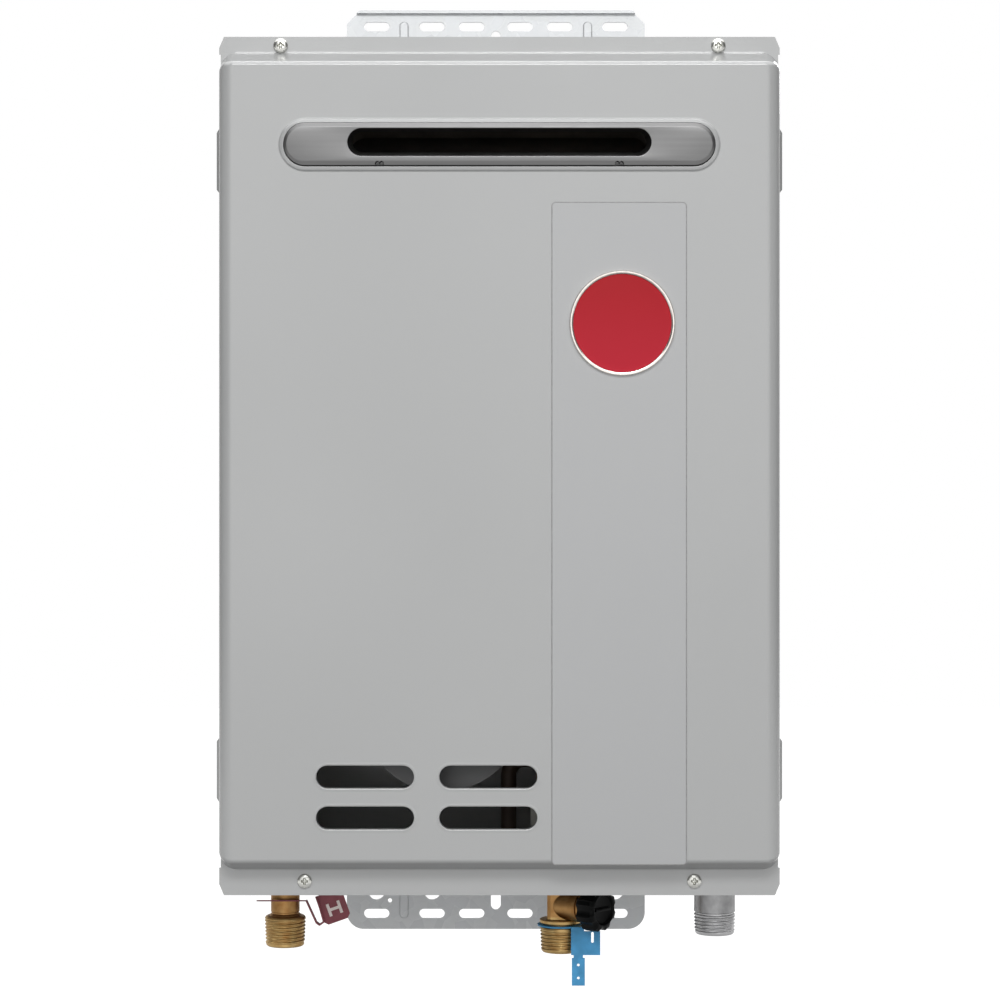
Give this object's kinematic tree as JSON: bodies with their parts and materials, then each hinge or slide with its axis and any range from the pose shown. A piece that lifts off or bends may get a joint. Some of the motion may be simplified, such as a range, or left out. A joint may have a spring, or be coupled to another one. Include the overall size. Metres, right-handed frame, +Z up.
{
  "type": "tankless water heater",
  "caption": "Wall-hung outdoor gas water heater: steel casing with a removable front, exhaust outlet, air intake slots, wall brackets, and water and gas connections below.",
  "frame": {"origin": "in the wall plane, at the centre of the two brackets' slot pattern", "axes": "+Z up, +Y into the wall, so that the front faces -Y, and +X to the right seen from the front"},
  "size_m": [0.3586, 0.2382, 0.6595],
  "materials": {
    "cover_paint": "satin silver-grey paint",
    "strip_paint": "satin silver-grey paint",
    "case_paint": "satin silver-grey paint",
    "galvanised": "galvanised",
    "zinc_screw": "zinc plated",
    "outlet_steel": "satin stainless",
    "blower_paint": "dark paint",
    "inner_steel": "plain sheet",
    "brass": "cast and turned",
    "plated_steel": "nickel plated",
    "copper": "drawn copper",
    "cast_alloy": "die cast",
    "badge_red": "glossy dome",
    "badge_silver": "bright",
    "black_plastic": "moulded",
    "grey_plastic": "moulded",
    "red_plastic": "soft, matt",
    "blue_plastic": "soft, matt",
    "white_plastic": "moulded",
    "dark_rubber": "foam and rubber",
    "board_green": "coated board",
    "ceramic": "fired ceramic",
    "sight_glass": "clear"
  },
  "bodies": {
    "casing": {"cover_gasket": "dark_rubber", "case_shell": "case_paint", "case_top": "case_paint", "case_bottom": "case_paint", "top_bracket": "galvanised", "bottom_bracket": "galvanised", "bracket_screws": "zinc_screw", "exhaust_outlet": "outlet_steel", "outlet_gasket": "dark_rubber", "flue_hood": "inner_steel", "exchanger_shell": "copper", "fin_pack": "copper", "exchanger_tube": "copper", "stack_brackets": "galvanised", "burner_box": "inner_steel", "burner_bars": "inner_steel", "air_plate": "inner_steel", "sight_glass": "sight_glass", "electrodes": "ceramic", "overheat_switch": "black_plastic", "gas_manifold": "cast_alloy", "manifold_valves": "black_plastic", "gas_valve_body": "cast_alloy", "gas_valve_coils": "black_plastic", "gas_pipe": "plated_steel", "gas_inlet_fitting": "plated_steel", "blower_housing": "blower_paint", "blower_inlet_plate": "blower_paint", "blower_motor": "white_plastic", "cold_inlet_body": "brass", "hot_outlet_fitting": "brass", "fitting_screws": "zinc_screw", "flow_sensor_body": "white_plastic", "water_valve_body": "brass", "water_valve_motor": "black_plastic", "cold_pipe": "copper", "hot_pipe": "copper", "bypass_pipe": "copper", "pipe_unions": "brass", "controller_bracket": "galvanised", "controller_case": "grey_plastic", "controller_board": "board_green", "terminal_block": "white_plastic", "cable_grommets": "dark_rubber", "ignition_transformer": "black_plastic", "ignition_lead": "dark_rubber"},
    "cover": {"front_cover": "cover_paint", "cover_screws": "zinc_screw", "trim_strip": "strip_paint", "badge_rim": "badge_silver", "badge_dome": "badge_red"},
    "blower_rotor": {"blower_impeller": "inner_steel", "blower_shaft": "plated_steel"},
    "turbine": {"flow_turbine": "grey_plastic"},
    "strainer": {"filter_strainer": "white_plastic"},
    "knob": {"filter_knob": "black_plastic"},
    "hot_tag": {"hot_tag": "red_plastic"},
    "cold_tag": {"cold_tag": "blue_plastic"}
  },
  "joints": [
    {"name": "cover_pull", "type": "slide", "parent": "casing", "child": "cover", "axis": [0, -1, 0], "range_m": [0, 0.12]},
    {"name": "blower_spin", "type": "hinge", "parent": "casing", "child": "blower_rotor", "pos_m": [-0.0424, -0.09, -0.162], "axis": [0, -1, 0], "continuous": true},
    {"name": "turbine_spin", "type": "hinge", "parent": "casing", "child": "turbine", "pos_m": [0.0424, -0.15, -0.226], "axis": [0, 0, 1], "continuous": true},
    {"name": "strainer_slide", "type": "slide", "parent": "casing", "child": "strainer", "axis": [0.7659, -0.6429, 0], "range_m": [0, 0.008]},
    {"name": "knob_turn", "type": "hinge", "parent": "strainer", "child": "knob", "pos_m": [0.0424, -0.15, -0.2841], "axis": [0.7659, -0.6429, 0], "range_deg": [0, 1440]},
    {"name": "hot_tag_swing", "type": "hinge", "parent": "casing", "child": "hot_tag", "pos_m": [-0.1367, -0.15, -0.2819], "axis": [0, 0, 1], "range_deg": [-60, 60]},
    {"name": "cold_tag_swing", "type": "hinge", "parent": "casing", "child": "cold_tag", "pos_m": [0.0424, -0.15, -0.2972], "axis": [0, 0, 1], "range_deg": [-60, 60]}
  ],
  "couplings": [
    {"joint": "strainer_slide", "follows": "knob_turn", "m_per_rad": 0.000318}
  ]
}
